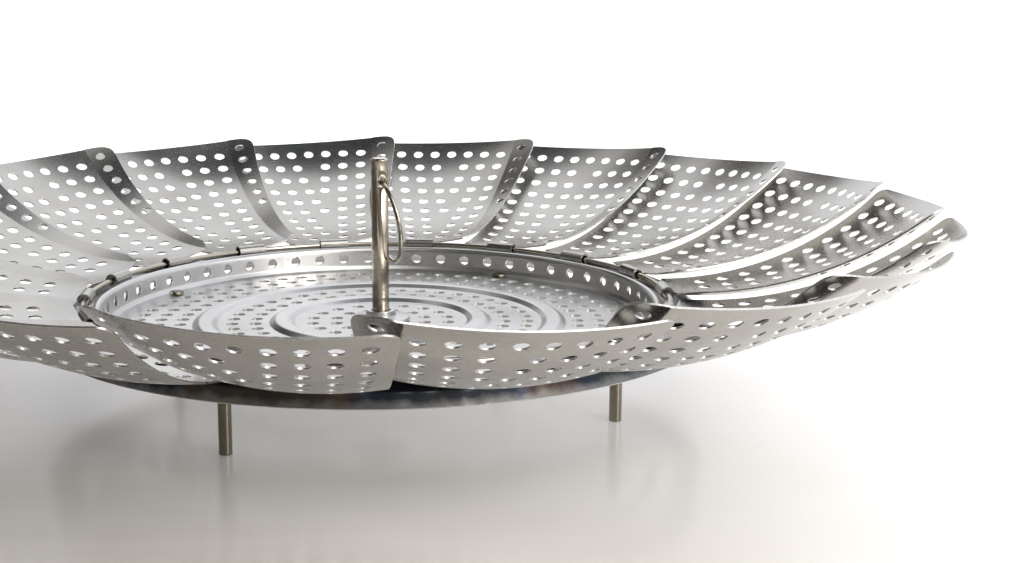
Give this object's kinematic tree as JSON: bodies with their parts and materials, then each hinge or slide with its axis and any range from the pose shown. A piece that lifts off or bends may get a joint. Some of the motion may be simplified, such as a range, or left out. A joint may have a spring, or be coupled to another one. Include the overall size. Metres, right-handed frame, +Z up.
{
  "type": "folding steamer basket",
  "caption": "Folding steel steamer basket: round perforated base on short legs, ringed by overlapping hinged petals, with a centre post and a lifting ring.",
  "frame": {"origin": "on the centre post's axis, in the plane the four feet stand on", "axes": "+Z up along the centre post; -Y faces the viewer of the open basket"},
  "size_m": [0.2846, 0.2838, 0.0589],
  "materials": {
    "petal_sheet": "thin satin stainless sheet, finely scratched, bright sheared edges",
    "pan_sheet": "pressed satin stainless sheet",
    "rod": "drawn stainless rod with fine lengthwise lines",
    "wire": "drawn stainless wire"
  },
  "bodies": {
    "base": {"base_pan": "pan_sheet", "post_bush": "pan_sheet", "leg_1": "rod", "leg_2": "rod", "leg_3": "rod", "leg_4": "rod", "hinge_wire": "wire"},
    "petal_01": {"petal_01": "petal_sheet"},
    "petal_02": {"petal_02": "petal_sheet"},
    "petal_03": {"petal_03": "petal_sheet"},
    "petal_04": {"petal_04": "petal_sheet"},
    "petal_05": {"petal_05": "petal_sheet"},
    "petal_06": {"petal_06": "petal_sheet"},
    "petal_07": {"petal_07": "petal_sheet"},
    "petal_08": {"petal_08": "petal_sheet"},
    "petal_09": {"petal_09": "petal_sheet"},
    "petal_10": {"petal_10": "petal_sheet"},
    "petal_11": {"petal_11": "petal_sheet"},
    "petal_12": {"petal_12": "petal_sheet"},
    "petal_13": {"petal_13": "petal_sheet"},
    "petal_14": {"petal_14": "petal_sheet"},
    "petal_15": {"petal_15": "petal_sheet"},
    "petal_16": {"petal_16": "petal_sheet"},
    "petal_17": {"petal_17": "petal_sheet"},
    "petal_18": {"petal_18": "petal_sheet"},
    "post": {"centre_post": "rod"},
    "ring": {"lift_ring": "wire"}
  },
  "joints": [
    {"name": "fold_01", "type": "hinge", "parent": "base", "child": "petal_01", "pos_m": [0.01384, -0.07188, 0.0242], "axis": [-0.982, -0.1891, 0], "range_deg": [0, 70]},
    {"name": "fold_02", "type": "hinge", "parent": "base", "child": "petal_02", "pos_m": [0.03759, -0.06281, 0.0242], "axis": [-0.8581, -0.5135, 0], "range_deg": [0, 70]},
    {"name": "fold_03", "type": "hinge", "parent": "base", "child": "petal_03", "pos_m": [0.05681, -0.04616, 0.0242], "axis": [-0.6307, -0.776, 0], "range_deg": [0, 70]},
    {"name": "fold_04", "type": "hinge", "parent": "base", "child": "petal_04", "pos_m": [0.06917, -0.02395, 0.0242], "axis": [-0.3272, -0.9449, 0], "range_deg": [0, 70]},
    {"name": "fold_05", "type": "hinge", "parent": "base", "child": "petal_05", "pos_m": [0.07319, 0.00115, 0.0242], "axis": [0.0157, -0.9999, 0], "range_deg": [0, 70]},
    {"name": "fold_06", "type": "hinge", "parent": "base", "child": "petal_06", "pos_m": [0.06838, 0.02611, 0.0242], "axis": [0.3567, -0.9342, 0], "range_deg": [0, 70]},
    {"name": "fold_07", "type": "hinge", "parent": "base", "child": "petal_07", "pos_m": [0.05533, 0.04793, 0.0242], "axis": [0.6547, -0.7559, 0], "range_deg": [0, 70]},
    {"name": "fold_08", "type": "hinge", "parent": "base", "child": "petal_08", "pos_m": [0.0356, 0.06396, 0.0242], "axis": [0.8738, -0.4863, 0], "range_deg": [0, 70]},
    {"name": "fold_09", "type": "hinge", "parent": "base", "child": "petal_09", "pos_m": [0.01158, 0.07228, 0.0242], "axis": [0.9874, -0.1582, 0], "range_deg": [0, 70]},
    {"name": "fold_10", "type": "hinge", "parent": "base", "child": "petal_10", "pos_m": [-0.01384, 0.07188, 0.0242], "axis": [0.982, 0.1891, 0], "range_deg": [0, 70]},
    {"name": "fold_11", "type": "hinge", "parent": "base", "child": "petal_11", "pos_m": [-0.03759, 0.06281, 0.0242], "axis": [0.8581, 0.5135, 0], "range_deg": [0, 70]},
    {"name": "fold_12", "type": "hinge", "parent": "base", "child": "petal_12", "pos_m": [-0.05681, 0.04616, 0.0242], "axis": [0.6307, 0.776, 0], "range_deg": [0, 70]},
    {"name": "fold_13", "type": "hinge", "parent": "base", "child": "petal_13", "pos_m": [-0.06917, 0.02395, 0.0242], "axis": [0.3272, 0.9449, 0], "range_deg": [0, 70]},
    {"name": "fold_14", "type": "hinge", "parent": "base", "child": "petal_14", "pos_m": [-0.07319, -0.00115, 0.0242], "axis": [-0.0157, 0.9999, 0], "range_deg": [0, 70]},
    {"name": "fold_15", "type": "hinge", "parent": "base", "child": "petal_15", "pos_m": [-0.06838, -0.02611, 0.0242], "axis": [-0.3567, 0.9342, 0], "range_deg": [0, 70]},
    {"name": "fold_16", "type": "hinge", "parent": "base", "child": "petal_16", "pos_m": [-0.05533, -0.04793, 0.0242], "axis": [-0.6547, 0.7559, 0], "range_deg": [0, 70]},
    {"name": "fold_17", "type": "hinge", "parent": "base", "child": "petal_17", "pos_m": [-0.0356, -0.06396, 0.0242], "axis": [-0.8738, 0.4863, 0], "range_deg": [0, 70]},
    {"name": "fold_18", "type": "hinge", "parent": "base", "child": "petal_18", "pos_m": [-0.01158, -0.07228, 0.0242], "axis": [-0.9874, 0.1582, 0], "range_deg": [0, 70]},
    {"name": "post_lift", "type": "slide", "parent": "base", "child": "post", "axis": [0, 0, 1], "range_m": [0, 0.03]},
    {"name": "ring_swing", "type": "hinge", "parent": "post", "child": "ring", "pos_m": [0, 0, 0.0529], "axis": [0.3173, -0.9483, 0], "range_deg": [0, 342]}
  ],
  "couplings": [
    {"joint": "fold_02", "follows": "fold_01", "ratio": 1},
    {"joint": "fold_03", "follows": "fold_01", "ratio": 1},
    {"joint": "fold_04", "follows": "fold_01", "ratio": 1},
    {"joint": "fold_05", "follows": "fold_01", "ratio": 1},
    {"joint": "fold_06", "follows": "fold_01", "ratio": 1},
    {"joint": "fold_07", "follows": "fold_01", "ratio": 1},
    {"joint": "fold_08", "follows": "fold_01", "ratio": 1},
    {"joint": "fold_09", "follows": "fold_01", "ratio": 1},
    {"joint": "fold_10", "follows": "fold_01", "ratio": 1},
    {"joint": "fold_11", "follows": "fold_01", "ratio": 1},
    {"joint": "fold_12", "follows": "fold_01", "ratio": 1},
    {"joint": "fold_13", "follows": "fold_01", "ratio": 1},
    {"joint": "fold_14", "follows": "fold_01", "ratio": 1},
    {"joint": "fold_15", "follows": "fold_01", "ratio": 1},
    {"joint": "fold_16", "follows": "fold_01", "ratio": 1},
    {"joint": "fold_17", "follows": "fold_01", "ratio": 1},
    {"joint": "fold_18", "follows": "fold_01", "ratio": 1}
  ]
}
